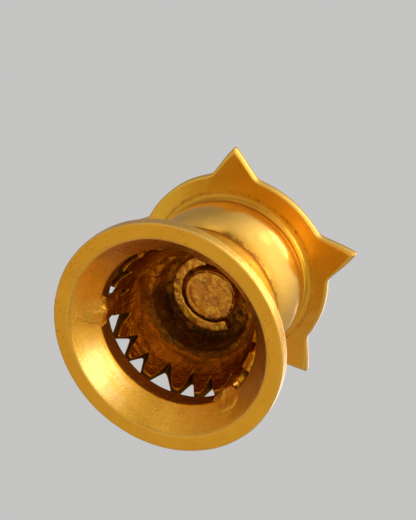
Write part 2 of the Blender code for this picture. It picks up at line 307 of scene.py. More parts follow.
class Metal(Tree):
    """One material being put together: a Principled surface with the nodes that feed it."""

    def __init__(self, name):
        self.material = bpy.data.materials.new(name)
        self.material.use_nodes = True
        super().__init__(self.material.node_tree, "Object")
        self.surface = self.tree.nodes["Principled BSDF"]
        self.colour = None

    def grain(self, size, detail=4.0, rough=0.55, where=None, twist=0.0):
        """Cloudy noise from 0 to 1, with features of about this size in metres."""
        sockets = {
            "Vector": where or self.place,
            "Scale": 1 / size,
            "Detail": detail,
            "Roughness": rough,
            "Distortion": twist,
        }
        return self.add("ShaderNodeTexNoise", {}, sockets).value("Fac")

    def pits(self, size, reach):
        """1 in the middle of scattered round pits of about this spacing, falling to 0."""
        sockets = {"Vector": self.place, "Scale": 1 / size, "Randomness": 1.0}
        cells = self.add("ShaderNodeTexVoronoi", {"feature": "F1"}, sockets)
        return cells.value("Distance").rise(reach, reach * 0.35)

    def turning(self, across, along, detail=4.0, rough=0.6):
        """Streaks that run round the axis, this wide across and this long round it."""
        stretch = across * 0.028 / along
        sockets = {
            "X": self.x / self.r * stretch,
            "Y": self.y / self.r * stretch,
            "Z": self.r + 1.1 * self.z,
        }
        line = self.add("ShaderNodeCombineXYZ", {}, sockets).value()
        return self.grain(across, detail, rough, line)

    def attribute(self, name):
        """A number that the mesh carries at each vertex."""
        return self.add("ShaderNodeAttribute", {"attribute_name": name}).value("Fac")

    def paint(self, share, over):
        """Lays this share of a colour over the colours that the material already has."""
        self.colour = self.mix(share, self.colour, over)

    def shade(self, rough, height, metallic=1.0, coat=0.35, edge_tint=(1.0, 1.0, 1.0)):
        """Feeds the surface. The height is in metres, and becomes its bump."""
        bump = self.add("ShaderNodeBump", {}, {"Strength": 1.0, "Distance": 1.0, "Height": height})
        fillings = {
            "Base Color": self.colour,
            "Roughness": rough,
            "Metallic": metallic,
            "Coat Weight": coat,
            "Coat Roughness": 0.20,
            "Coat IOR": 1.5,
            "Specular Tint": edge_tint,
            "Normal": bump.value("Normal"),
        }
        for name, filling in fillings.items():
            self.fill(self.surface.inputs[name], filling)
        return self.material


def polished_foot_brass(colours, sizes, name="polished_foot_brass", throat_patina=1.0):
    """Satin gold of the foot: bright edges, pitted ring face, dark turned throat, a pale cone
    patch that is partly a painted highlight, and specks painted as glints.
    """
    metal = Metal(name)
    streaks = metal.turning(0.0007, 0.016, 5.0, 0.65)
    fine = metal.turning(0.00025, 0.006, 3.0)
    cloud = metal.grain(0.014, 4.0, 0.6)
    grit = metal.grain(0.00045, 3.0, 0.7)
    mottle = metal.grain(0.0035, 5.0, 0.65, twist=0.4)
    metal.colour = metal.mix(cloud.rise(0.35, 0.72), colours.gold, colours.warm)
    metal.paint(streaks.rise(0.50, 0.80) * 0.45, colours.orange)

    face = metal.z.rise(0.00035, 0.00012)
    metal.paint(face * 0.55, colours.warm)
    throat = metal.r.rise(sizes.throat_radius + 0.0006, sizes.throat_radius + 0.0001)
    throat = throat * metal.z.rise(sizes.throat_height - 0.0002, sizes.throat_height + 0.0005)
    throat = throat * throat_patina
    metal.paint(throat * (0.55 + 0.45 * mottle), colours.brown)
    inner_edge = metal.r.band(sizes.mouth_radius - 0.0003, sizes.mouth_radius + 0.0003, 0.0002)
    outer_edge = metal.r.rise(sizes.foot_radius - 0.0007, sizes.foot_radius - 0.0002)
    low = metal.z.rise(0.0016, 0.0006)
    bright = (inner_edge * 0.3).largest(outer_edge * low * 0.7)
    metal.paint(bright * (0.45 + 0.55 * grit), colours.burnished)

    wide_pits = metal.pits(0.0016, 0.17) * mottle.rise(0.50, 0.62)
    small_pits = metal.pits(0.0007, 0.26) * cloud.rise(0.42, 0.60)
    pits = wide_pits.largest(small_pits * 0.8) * (0.35 + 0.65 * face)
    wander = metal.y + (metal.grain(0.0022, 3.0) - 0.5) * 0.0022
    crack = wander.band(0.01632, 0.01640, 0.00009) * metal.x.band(-0.0240, -0.0180, 0.0004)
    pits = pits.largest(crack * metal.z.rise(0.0012, 0.0024))
    # Pale specks of burnished colour painted as glints.
    painted_glints = metal.grain(0.00032, 2.0, 0.6).rise(0.56, 0.66) * metal.z.rise(0.0, 0.0004)
    metal.paint(painted_glints * 0.8, colours.burnished)
    # Pale patch on the cone where the key light falls: partly rubbed wear, partly a painted
    # highlight.
    rubbed = metal.x.band(-0.0180, 0.0010, 0.0050) * metal.y.rise(0.0170, 0.0240) * (1 - face)
    rubbed = rubbed * metal.z.rise(0.0078, 0.0066) * (0.35 + 0.65 * streaks.rise(0.40, 0.60))
    metal.paint(rubbed * 0.65, colours.rubbed)
    metal.paint(pits * 0.85, colours.rust)
    rough = 0.23 + 0.10 * cloud + 0.12 * (streaks - 0.5) + 0.14 * throat + 0.3 * pits
    rough = rough + 0.05 * face - 0.06 * bright
    height = 0.000010 * streaks + 0.000005 * fine + 0.000070 * grit - 0.00014 * pits
    height = height + 0.000012 * throat * mottle
    return metal.shade(rough, height)


def turned_cup_brass(colours, sizes):
    """The cup: a ringed and dented inner wall, a rough stained recess with painted shade on one
    side, and sawn edges with soot and painted shade.
    """
    metal = Metal("turned_cup_brass")
    rings = metal.turning(0.0006, 0.020, 4.0, 0.7)
    cloud = metal.grain(0.007, 5.0, 0.65, twist=0.6)
    lumps = metal.grain(0.0020, 5.0, 0.7, twist=0.3)
    grit = metal.grain(0.0005, 4.0, 0.7)
    inside = metal.attribute("inside")
    cut = metal.attribute("cut")
    edge = metal.attribute("edge")
    ragged = metal.r + (lumps - 0.5) * 0.008 + (cloud - 0.5) * 0.006
    deep = ragged.rise(sizes.recess_radius + 0.0022, sizes.recess_radius + 0.0002) * inside
    near = metal.z.rise(0.0225, 0.0160)

    outside_colour = metal.mix(cloud.rise(0.4, 0.7), colours.gold, colours.warm)
    stain = rings.rise(0.42, 0.58) * 0.75 + cloud.rise(0.40, 0.75) * 0.3
    wall_colour = metal.mix(stain, colours.wall, colours.wall_stain)
    wall_colour = metal.mix(near * 0.75, wall_colour, colours.wall_edge)
    metal.colour = metal.mix(inside, outside_colour, wall_colour)
    raw = metal.mix(cloud.rise(0.36, 0.62), colours.raw, colours.brown)
    metal.paint(deep, raw)
    flecks = metal.grain(0.0010, 4.0, 0.75)
    soot = (lumps.rise(0.50, 0.60) * flecks.rise(0.40, 0.55)).largest(flecks.rise(0.58, 0.66))
    metal.paint(deep * soot * 0.80, colours.dark)
    # Painted shade: the recess darkens towards +y and a little +x.
    painted_recess_shade = (metal.x * 0.3 + metal.y).rise(-0.002, 0.012)
    metal.paint(deep * painted_recess_shade * 0.6, colours.dark)
    green = metal.grain(0.0045, 3.0, 0.5).rise(0.52, 0.66) * deep
    metal.paint(green * 0.5, colours.green)
    # Soot and painted shade on the cut faces, read from the cut attribute.
    metal.paint(cut.rise(0.0, 0.7) * (0.80 + 0.20 * grit), colours.sawn)
    metal.paint(edge, colours.gold)
    rough = 0.33 + 0.12 * rings * inside + 0.28 * deep + 0.10 * cloud + 0.25 * cut
    dents = metal.grain(0.0026, 4.0, 0.6, twist=0.8)
    height = (0.00014 * rings + 0.00070 * dents) * inside * (1 - deep) + 0.00005 * grit * inside
    height = height + deep * (0.00022 * lumps + 0.00005 * grit)
    metallic = 1 - 0.35 * deep * lumps.rise(0.5, 0.7)
    coat = 0.35 * (1 - inside) * (1 - cut.rise(0.0, 0.1))
    return metal.shade(rough, height, metallic, coat, colours.grazing)


def dish_brass(colours, sizes):
    """The dish: polished bulge with a pale band that is partly a painted highlight, a hollow above
    it with painted shade on one side, and a satin rim with painted shade on two sides.
    """
    metal = Metal("dish_brass")
    streaks = metal.turning(0.0008, 0.018, 5.0)
    cloud = metal.grain(0.012, 4.0, 0.6)
    mottle = metal.grain(0.0030, 5.0, 0.7, twist=0.4)
    grit = metal.grain(0.0005, 3.0, 0.7)
    underside = sizes.rim_top - sizes.rim_thickness
    bulge = metal.z.rise(underside - 0.0018, underside - 0.0026)
    hollow = metal.z.band(underside - 0.0028, underside - 0.0002, 0.0005)
    # Only the hollow's -x side, which is painted brown as shade.
    hollow = hollow * metal.r.rise(0.0268, 0.0262) * metal.x.rise(0.016, -0.004)
    rim = metal.z.rise(underside - 0.0004, underside - 0.0001)

    metal.colour = metal.mix(cloud.rise(0.35, 0.7) * 0.6, colours.gold, colours.warm)
    # Pale band round the bulge's widest part: partly polish on the high spot, partly a painted
    # highlight.
    belly = metal.z.band(0.0335, 0.0440, 0.0020) * (0.30 + 0.50 * cloud)
    metal.paint(belly * bulge, colours.belly)
    rim_colour = metal.mix(cloud.rise(0.3, 0.8), colours.rim, colours.gold)
    metal.paint(rim, rim_colour)
    # Painted shade: the rim turns orange towards +x+y.
    rim_orange_shade = (metal.x + metal.y).rise(0.004, 0.034) * rim
    metal.paint(rim_orange_shade * 0.8, colours.orange)
    # Painted shade: the rim is dulled towards +x-y.
    shaded = (metal.x - metal.y).rise(0.012, 0.036) * rim
    metal.paint(shaded * 0.55, colours.rim_painted_shade)
    # Painted shade: brown laid on the hollow's -x side.
    metal.paint(hollow * 0.5, colours.brown)
    seam = sizes.seam_height
    stained = (metal.z + (mottle - 0.5) * 0.0040).rise(seam + 0.0018, seam + 0.0008)
    metal.paint(stained * 0.75, colours.neck)
    junction = metal.r.band(0.0254, 0.0264, 0.0003)
    junction = junction * metal.z.band(underside - 0.0006, underside + 0.0004, 0.0002)
    chatter = metal.grain(0.0016, 5.0, 0.8, twist=0.8)
    metal.paint(junction * chatter.rise(0.50, 0.62) * 0.6, colours.brown)
    metal.paint(junction * chatter.rise(0.42, 0.30) * 0.5, colours.burnished)
    pits = metal.pits(0.0022, 0.12) * mottle.rise(0.52, 0.62)
    metal.paint(pits * 0.8, colours.rust)
    edge = metal.attribute("edge")
    metal.paint(edge * 0.35, colours.burnished)
    rough = 0.22 + 0.08 * cloud + 0.10 * (streaks - 0.5) + 0.08 * rim + 0.10 * hollow + 0.3 * pits
    rough = rough + 0.15 * junction
    height = 0.000008 * streaks + 0.000003 * grit - 0.00006 * pits + 0.00005 * junction * chatter
    return metal.shade(rough, height)


def cast_brass(colours, name, patina, shine):
    """Rough as-cast brass, from dull brown to rubbed gold, with pits."""
    metal = Metal(name)
    cloud = metal.grain(0.004, 5.0, 0.65, twist=0.5)
    lumps = metal.grain(0.0015, 5.0, 0.7)
    grit = metal.grain(0.0004, 4.0, 0.7)
    metal.colour = metal.mix(cloud.rise(0.40, 0.75), colours.orange, colours.brown)
    metal.paint(lumps.rise(0.52, 0.70) * patina, colours.dark)
    rub = (lumps.rise(0.54, 0.38) * shine).smallest(1.0)
    metal.paint(rub, colours.gold)
    pits = metal.pits(0.0012, 0.22) * cloud.rise(0.48, 0.60)
    metal.paint(pits * 0.8, colours.dark)
    rough = 0.36 + 0.20 * cloud - 0.08 * rub + 0.2 * pits
    height = 0.00007 * lumps + 0.00002 * grit - 0.00008 * pits
    return metal.shade(rough, height, 1 - 0.3 * patina * cloud, 0.5 * (1 - patina))


def braze_metal(colours):
    """The red-brown braze line, pitted and dull."""
    metal = Metal("braze_metal")
    lumps = metal.grain(0.0009, 5.0, 0.75)
    cloud = metal.grain(0.0030, 4.0, 0.6)
    metal.colour = metal.mix(cloud.rise(0.35, 0.65), colours.brown, colours.rust)
    metal.paint(lumps.rise(0.55, 0.68), colours.dark)
    metal.paint(lumps.rise(0.42, 0.30), colours.warm)
    height = 0.00015 * lumps
    return metal.shade(0.40 + 0.25 * lumps, height, 1 - 0.35 * cloud, 0.1)


# ---- mesh building


def arc(centre_r, centre_z, radius_r, radius_z, start, end, steps):
    """Points (r, z) along an elliptical arc, with angles in degrees from +r towards +z."""
    points = []
    for step in range(steps + 1):
        angle = math.radians(start + (end - start) * step / steps)
        r, z = centre_r + radius_r * math.cos(angle), centre_z + radius_z * math.sin(angle)
        points.append((r, z))
    return points


def corner(before, at, after, radius, steps=3):
    """A corner of a section, rounded off by this radius."""
    at, into, out = Vector(at), Vector(before), Vector(after)
    start = at + (into - at).normalized() * min(radius, (into - at).length * 0.45)
    end = at + (out - at).normalized() * min(radius, (out - at).length * 0.45)
    points = []
    for step in range(steps + 1):
        share = step / steps
        near = start.lerp(at, share)
        points.append(tuple(near.lerp(at.lerp(end, share), share)))
    return points


def rounded(section, radii):
    """A closed section with its corners rounded; a radius of 0 keeps a corner as it is."""
    made = []
    for index, radius in enumerate(radii):
        before, at = section[index - 1], section[index]
        after = section[(index + 1) % len(section)]
        made += corner(before, at, after, radius) if radius else [at]
    return made


def divided(section, longest, closed=True):
    """The section with points added, so that no step is longer than this."""
    made = []
    ends = section[1:] + (section[:1] if closed else [])
    for start, end in zip(section, ends):
        count = max(1, math.ceil(math.dist(start, end) / longest))
        for step in range(count):
            share = step / count
            made.append(tuple(a + (b - a) * share for a, b in zip(start, end)))
    return made if closed else made + [section[-1]]


def turned(section, steps, closed=True):
    """A mesh of a section turned the whole way round the axis. An eighth is spun, then copied."""
    mesh = bmesh.new()
    points = [mesh.verts.new((r, 0, z)) for r, z in section]
    pairs = list(zip(points, points[1:])) + ([(points[-1], points[0])] if closed else [])
    edges = [mesh.edges.new(pair) for pair in pairs]
    axis = {"axis": (0, 0, 1), "cent": (0, 0, 0)}
    bmesh.ops.spin(mesh, geom=points + edges, angle=TURN / 8, steps=steps // 8, **axis)
    for part in (8, 4, 2):
        copied = bmesh.ops.duplicate(mesh, geom=mesh.verts[:] + mesh.edges[:] + mesh.faces[:])
        moved = [item for item in copied["geom"] if isinstance(item, bmesh.types.BMVert)]
        turn = Matrix.Rotation(TURN / part, 3, "Z")
        bmesh.ops.rotate(mesh, verts=moved, cent=(0, 0, 0), matrix=turn)
    bmesh.ops.remove_doubles(mesh, verts=mesh.verts, dist=MERGE)
    bmesh.ops.recalc_face_normals(mesh, faces=mesh.faces)
    return mesh


def turned_part(section, start, angle, steps):
    """A closed section turned through part of a circle, with both ends closed."""
    mesh = bmesh.new()
    for _ in range(2):
        face = mesh.faces.new([mesh.verts.new(around(r, start, z)) for r, z in section])
    bmesh.ops.spin(mesh, geom=[face], axis=(0, 0, 1), cent=(0, 0, 0), angle=angle, steps=steps)
    bmesh.ops.remove_doubles(mesh, verts=mesh.verts, dist=MERGE)
    bmesh.ops.recalc_face_normals(mesh, faces=mesh.faces)
    return mesh


def around(r, angle, z):
    """The point at this radius, angle in radians and height."""
    return (r * math.cos(angle), r * math.sin(angle), z)


def polar(place):
    """Radius, angle in radians and height of a point."""
    return math.hypot(place.x, place.y), math.atan2(place.y, place.x), place.z


def degrees_past(angle, middle):
    """How far an angle in radians lies past a direction in degrees, from -180 to 180."""
    return (math.degrees(angle) - middle + 180) % 360 - 180


def lumps(place, size, seed=0.0, octaves=3):
    """Smooth noise between about -1 and 1, with features of this size in metres."""
    point = Vector(place) / size + Vector((seed, seed * 0.7, seed * 1.3))
    return noise.fractal(point, 1.0, 2.0, octaves)


def roughen(mesh, size, amount, seed=0.0, octaves=3):
    """Moves each vertex along its normal. The amount is in metres, or a function of the vertex."""
    mesh.normal_update()
    moves = []
    for vertex in mesh.verts:
        much = amount(vertex.co) if callable(amount) else amount
        moves.append(vertex.normal * (much * lumps(vertex.co, size, seed, octaves)))
    for vertex, move in zip(mesh.verts, moves):
        vertex.co += move


def smooth_step(low, high, value):
    share = min(1.0, max(0.0, (value - low) / (high - low)))
    return share * share * (3 - 2 * share)


def object_of(name, mesh, material):
    """The named object of a bmesh, with its one material."""
    data = bpy.data.meshes.new(name)
    mesh.to_mesh(data)
    mesh.free()
    data.materials.append(material)
    made = bpy.data.objects.new(name, data)
    bpy.context.scene.collection.objects.link(made)
    return made


def finish_piece(name, mesh, material, slot, *nodes):
    """Makes a piece of a bmesh, smooths it, attaches it to the root body and hides the CAD nodes
    that it replaces.
    """
    piece = object_of(name, mesh, material)
    piece.data.shade_smooth()
    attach(piece, "root")
    if nodes:
        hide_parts(*nodes)
    return piece


def build_foot(sizes, colours):
    """The flared foot, with its ring face, cone, turned throat and hollow-curved back."""
    top = sizes.foot_height
    back_radius = 0.0263
    rim_height = 0.0035
    back = arc(
        sizes.foot_radius, top, back_radius - sizes.foot_radius, rim_height - top, 0, 90, 18
    )
    section = [
        (sizes.foot_radius, 0),
        (sizes.mouth_radius, 0),
        (sizes.throat_radius, sizes.throat_height),
        (sizes.throat_radius, top),
    ]
    section = rounded(section, (0, 0.0006, 0.0005, 0.0003))
    outer_foot = (sizes.foot_radius, 0)
    section[0:1] = corner((sizes.foot_radius, rim_height), outer_foot, section[1], 0.0006)
    section += corner(section[-1], back[0], back[1], 0.0003)
    section += back[1:-1] + corner(back[-2], back[-1], (sizes.foot_radius, 0.001), 0.0004)
    mesh = turned(divided(section, 0.0006), FOOT_STEPS)
    for vertex in mesh.verts:
        r, _, z = polar(vertex.co)
        if r < sizes.throat_radius + 0.0002 and z > sizes.throat_height:
            groove = 0.00007 * math.sin(z / 0.00042) + 0.00004 * lumps((0, 0, z), 0.0007, 3.0)
            scale = (r + groove) / r
            vertex.co.x *= scale
            vertex.co.y *= scale
    roughen(mesh, 0.006, 0.00006, 1.0)
    roughen(mesh, 0.0016, 0.000018, 2.0)
    material = polished_foot_brass(colours, sizes)
    finish_piece("foot", mesh, material, "polished_brass", "foot_ring")


def cut_height(angle, tip):
    """Height of the crown's sawn edge at an angle: sloping notches between blunt tips."""
    tip += 0.00018 * lumps(around(0.026, angle, 0), 0.003, 4.0)
    highest = tip
    for middle, higher, lower, top in NOTCHES:
        away = degrees_past(angle, middle)
        away = away / higher if away > 0 else -away / lower
        if away < 1.2:
            away = math.hypot(away, NOTCH_SOFTNESS) - NOTCH_SOFTNESS
            away /= math.hypot(1, NOTCH_SOFTNESS) - NOTCH_SOFTNESS
            if away > 1 - BLUNT_SHARE:
                over = min(1.0, (away - 1 + BLUNT_SHARE) / (2 * BLUNT_SHARE))
                away = 1 - BLUNT_SHARE * (1 - over) ** 2
            ragged = top + 0.00022 * lumps(around(1, angle, 0), 0.06, 8.0)
            highest = max(highest, ragged + away * (tip - ragged))
    return highest


def crown_lean(angle):
    """How much the crown's wall leans in at an angle, from 0 to 1."""
    return smooth_step(32.0, 8.0, abs(degrees_past(angle, LEAN_SIDE)))


def crown_shift(angle):
    """How far the crown's inner wall moves out from its own circle, which is mostly inwards."""
    return CROWN_OFFSET * math.sin(angle) - CROWN_INSET - LEAN_INSIDE * crown_lean(angle)


def crown_inner_radius(height, angle, tip):
    """Inner radius of the crown at a height, where the wall curves in towards the recess."""
    rise = min(0.999, max(0.0, (height - tip) / CURVE_RISE))
    curve = CURVE_CENTRE + CURVE_REACH * math.sqrt(1 - rise * rise)
    return curve + crown_shift(angle) * (1 - rise)


def build_cup(sizes, colours):
    """The cup: sawn crown of teeth, curved ringed wall, rough recess and the outside belly."""
    tip, root = sizes.tooth_height, TOOTH_ROOT
    inner, outer = CROWN_INNER, sizes.crown_radius
    seam, seam_inner, seam_outer = sizes.seam_height, 0.0170, 0.0186
    recess, end_wall = sizes.recess_radius, sizes.end_wall_height
    closed_top, tenon_hole = end_wall + 0.002, 0.0062
    belly = arc(0.0140, 0.0170, 0.0120, 0.0160, 18.2, 62.0, 14)
    outer_root = belly[0][0]
    root_angle = math.degrees(math.asin((root - tip) / CURVE_RISE))
    curve = (CURVE_CENTRE, tip, CURVE_REACH, CURVE_RISE)
    inner_rows = arc(*curve, 0, root_angle, 18)
    outer_rows = divided([(outer, tip), (outer_root, root)], 0.0006, closed=False)
    inside = arc(*curve, root_angle, 84, 12)[1:]
    inside += corner(inside[-1], (recess, 0.0249), (recess - 0.0003, end_wall), 0.0012, 5)[1:]
    recess_corner = (recess - 0.0005, end_wall)
    inside += corner((recess, 0.0246), recess_corner, (tenon_hole, end_wall), 0.0024, 6)
    inside += [(tenon_hole, end_wall), (tenon_hole, closed_top)]
    inside += [(seam_inner, closed_top), (seam_inner, seam)]
    inside = divided(inside, 0.0005, closed=False)
    outside = [(seam_outer, seam)] + list(reversed(belly))[:-1]
    section = inner_rows + inside + outside + list(reversed(outer_rows))
    section += [(outer - 0.0003, tip), ((inner + outer) / 2, tip), (inner + 0.0003, tip)]
    mesh = turned(section, CUP_STEPS)
    layers = mesh.verts.layers.float
    inside_layer, cut_layer, edge_layer = (layers.new(name) for name in ("inside", "cut", "edge"))
    for vertex in mesh.verts:
        r, angle, z = polar(vertex.co)
        outside_face = r > inner + 0.0010 or (z > WALL_END and r > recess + 0.0012)
        vertex[inside_layer] = 0.0 if outside_face else 1.0
        if z > root + 0.00001:
            if not outside_face and r > recess and z < WALL_END:
                r += crown_shift(angle) * (1 - min(1.0, (z - tip) / CURVE_RISE))
                vertex.co = around(r, angle, z)
            continue
        share = (z - tip) / (root - tip)
        height = cut_height(angle, tip)
        on_face = share < 0.01 and inner + 0.0001 < r < outer - 0.0001
        if share < 0.01:
            # Soot in patches on the cut faces, plus painted shade: darkest on the side away from
            # the key light, light on the side facing it, most where the wall leans in.
            soot_and_shade = 0.55 + 0.45 * smooth_step(-0.2, 0.5, math.sin(angle - 0.35))
            soot_and_shade *= 1 - 0.8 * crown_lean(angle)
            patch = lumps(around(r, angle, z * 3), 0.0022, 6.5)
            soot_and_shade = max(soot_and_shade, smooth_step(0.0, 0.4, patch))
            near_edge = r < inner + 0.0004
            vertex[cut_layer] = soot_and_shade * (0.15 if near_edge else 1.0)
            vertex[edge_layer] = 0.0 if on_face else (0.7 if r < inner + 0.0001 else 0.2)
        new_z = height + share * (root - height)
        slope = (new_z - tip) / (root - tip)
        inner_here = crown_inner_radius(new_z, angle, tip)
        outer_here = outer + (outer_root - outer) * slope
        outer_here -= LEAN_OUTSIDE * crown_lean(angle) * (1 - slope)
        if on_face:
            r = inner_here + (outer_here - inner_here) * (r - inner) / (outer - inner)
        else:
            r = outer_here if outside_face else inner_here
        vertex.co = around(r, angle, new_z)
    bmesh.ops.recalc_face_normals(mesh, faces=mesh.faces)

    def cast_depth(place):
        deep = smooth_step(recess + 0.0024, recess - 0.0003, math.hypot(place.x, place.y))
        hidden = place.z > end_wall + 0.0008
        return 0.0 if hidden else 0.00004 + 0.00036 * deep

    roughen(mesh, 0.0026, cast_depth, 5.0, 4)
    roughen(mesh, 0.006, 0.00007, 6.0)
    material = turned_cup_brass(colours, sizes)
    finish_piece("crown_and_cup", mesh, material, "turned_brass", "crown_cup")


def build_joint_grime(sizes, colours):
    """Old solder and soot packed between the foot's top edge and the crown on one side."""
    top = sizes.foot_height
    section = [(0.0243, top - 0.0002), (0.0258, top - 0.0002), (0.0256, top + 0.0040)]
    section += [(0.0244, top + 0.0046)]
    section = divided(rounded(section, (0.0002, 0.0002, 0.0006, 0.0004)), 0.0004)
    mesh = turned_part(section, math.radians(164.0), math.radians(66.0), 120)
    roughen(mesh, 0.0020, 0.00030, 25.0, 4)
    material = cast_brass(colours, "joint_grime", 1.0, 0.1)
    finish_piece("joint_grime", mesh, material, "cast_brass")


def rim_step(share):
    """The points on either side of a share of the way round, and the share of the way between
    them, which is uneven so that the columns are close at each point."""
    number, part = divmod(share * len(POINTS), 1.0)
    here, following = (POINTS[(int(number) + ahead) % len(POINTS)] for ahead in (0, 1))
    span = (following[0] - here[0]) % 360.0
    return here, following, span, part - 0.7 * math.sin(TURN * part) / TURN


def rim_angle(share):
    """The angle in degrees at a share of the way round."""
    here, _, span, part = rim_step(share)
    return here[0] + part * span


def rim_radius(share):
    """Radius of the rim's outline there: plain arcs that run out into hollow-sided points."""
    (_, reach, arc_radius), (_, next_reach, _), span, part = rim_step(share)
    if part > 0.5:
        part = 1.0 - part
        reach = next_reach
    from_point = math.hypot(part * span / POINT_WIDTH, 0.04)
    near = 1.0 - from_point
    rise = ((near + math.hypot(near, 0.14)) / 1.94) ** 1.25
    return arc_radius + (reach - arc_radius) * rise


def build_dish(sizes, colours):
    """The dish: bulging bowl, hollow above it, five-point rim, wick grooves and oil well."""
    top = sizes.rim_top
    underside = top - sizes.rim_thickness
    seam = sizes.seam_height
    columns = RIM_STEPS * len(POINTS)
    start, end = (
        math.degrees(math.asin((height - BULGE_CENTRE[1]) / BULGE_RADIUS))
        for height in (seam + 0.0006, CREASE)
    )
    bulge = arc(*BULGE_CENTRE, BULGE_RADIUS, BULGE_RADIUS, start, end, 30)
    reach = bulge[-1][0] - HOLLOW_RADIUS
    hollow = arc(HOLLOW_RADIUS, CREASE, reach, underside - CREASE, 0, 90, 8)
    rim = [(RIM_RADIUS - 0.0004, underside), (RIM_RADIUS, underside + 0.0004)]
    rim += [(RIM_RADIUS, top - 0.0004), (RIM_RADIUS - 0.0004, top)]
    lip = arc(sizes.well_radius + 0.0014, top - 0.0014, 0.0014, 0.0014, 90, 180, 6)
    floor = 0.0415
    bowl = arc(sizes.well_radius - 0.0042, floor + 0.0042, 0.0042, 0.0042, 0, -90, 8)
    hole, neck, base = 0.0063, 0.0178, 0.0381
    section = [(hole, base), (neck, base), (neck, seam), (0.0186, seam)]
    section += bulge + hollow[1:]
    face = divided([hollow[-1], rim[0]], 0.0005, closed=False)[1:]
    section += face + rim[1:3]
    section += divided([rim[3], lip[0]], 0.0004, closed=False) + lip[1:]
    section += divided([lip[-1], bowl[0]], 0.0008, closed=False)[1:] + bowl[1:]
    section += divided([bowl[-1], (hole, floor)], 0.0008, closed=False)[1:]
    mesh = turned(section, columns)
    edge_layer = mesh.verts.layers.float.new("edge")
    edge_start = RIM_RADIUS - 0.0005
    for vertex in mesh.verts:
        r, angle, z = polar(vertex.co)
        share = round(angle / TURN * columns) % columns / columns
        angle = math.radians(rim_angle(share))
        if r > edge_start:
            vertex[edge_layer] = 1.0
        if r > HOLLOW_RADIUS and z > underside - 0.0001:
            run = (r - HOLLOW_RADIUS) / (RIM_RADIUS - HOLLOW_RADIUS)
            r += (rim_radius(share) - RIM_RADIUS) * min(1.0, max(0.0, run))
        if z > top - 0.00005 and 0.0190 < r < 0.0364:
            z -= groove_depth(r, angle)
        vertex.co = around(r, angle, z)
    bmesh.ops.recalc_face_normals(mesh, faces=mesh.faces)
    roughen(mesh, 0.007, 0.00007, 8.0)
    roughen(mesh, 0.0018, 0.000012, 9.0)
    material = dish_brass(colours, sizes)
    finish_piece("dish_and_star_rim", mesh, material, "polished_brass", "star_dish")


def groove_depth(r, angle):
    """Depth of the wick groove that runs out along each point of the rim's top face."""
    away = min(abs(degrees_past(angle, middle)) for middle, _, _ in POINTS)
    across = r * math.radians(away)
    radius = 0.0017 * (1 - 0.4 * smooth_step(0.0192, 0.0362, r))
    if across >= radius:
        return 0.0
    ends = smooth_step(0.0364, 0.0350, r)
    return max(0.0, math.sqrt(radius**2 - across**2) - 0.0007) * ends


def build_braze(sizes, colours):
    """The lumpy bead of braze that fills the seam between cup and dish."""
    seam = sizes.seam_height
    section = arc(0.0192, seam, 0.0013, 0.0009, 0, 360, 14)[:-1]
    mesh = turned(section, 480)
    roughen(mesh, 0.0016, 0.00022, 11.0, 4)
    roughen(mesh, 0.0006, 0.00010, 12.0, 2)
    finish_piece("neck_braze_bead", mesh, braze_metal(colours), "braze", "neck_braze")


def build_rivet(sizes, colours):
    """The rivet: a flat pitted boss in the recess and a low dome in the oil well."""
    face, wall = RIVET_BOX[0].z, sizes.end_wall_height + 0.0004
    boss = sizes.boss_radius
    dome_base, dome_top = 0.0416, RIVET_BOX[1].z
    section = divided([(0, face), (boss - 0.0006, face)], 0.0004, closed=False)
    section += corner((0, face), (boss, face), (boss, wall), 0.0007, 4)
    section += [(boss + 0.0002, wall), (0.0060, wall), (0.0060, dome_base)]
    section += arc(0, dome_base, 0.0090, dome_top - dome_base, 0, 90, 14)[:-1] + [(0, dome_top)]
    mesh = turned(section, 180, closed=False)
    groove_angle = math.radians(160.0)
    for vertex in mesh.verts:
        r, angle, z = polar(vertex.co)
        if z < face + 0.0012 and r > 0.0001:
            near = smooth_step(boss * 0.55, boss, r)
            scale = 1 + near * 0.035 * lumps(around(r, angle, 0), 0.005, 15.0)
            vertex.co.x *= scale
            vertex.co.y *= scale
            side = math.cos(angle - groove_angle)
            ring = math.exp(-(((r - boss * 0.80) / 0.0005) ** 2))
            vertex.co.z += 0.00018 * ring * smooth_step(0.1, 0.6, side)
    roughen(mesh, 0.0030, 0.00013, 16.0, 4)
    roughen(mesh, 0.0008, 0.00003, 17.0)
    material = cast_brass(colours, "rivet_brass", 0.15, 0.85)
    finish_piece("rivet", mesh, material, "cast_brass", "tenon_rivet")


def build_collar(sizes, colours):
    """What is left of the collar round the boss, broken off square at one end."""
    high = sizes.end_wall_height
    low = COLLAR_BOX[0].z
    section = [(0.0091, high), (0.0091, low), (0.0124, low), (0.0124, high)]
    section = divided(rounded(section, (0, 0.0004, 0.0007, 0)), 0.0004)
    mesh = turned_part(section, math.radians(26.0), math.radians(200.0), 150)
    roughen(mesh, 0.0026, 0.00022, 21.0, 3)
    roughen(mesh, 0.0009, 0.00003, 22.0)
    material = cast_brass(colours, "collar_brass", 0.0, 3.0)
    finish_piece("broken_collar", mesh, material, "cast_brass", "rivet_collar")


# Each lug: CAD node, middle and width round the axis in degrees, the height on the cone where
# it starts, thickness, how sharp its edge is towards lower angles, and seed.
LUGS = (
    ("lug_left", 147.0, 31.0, 0.0010, 0.0008, 0.0, 31.0),
    ("lug_right", 17.0, 23.0, 0.0040, 0.0009, 1.0, 32.0),
    ("lug_front", -105.0, 20.0, 0.0036, 0.0008, 0.5, 33.0),
)


def cone_slope(sizes):
    """How much the cone's radius changes over each metre of height."""
    return (sizes.throat_radius - sizes.mouth_radius) / sizes.throat_height


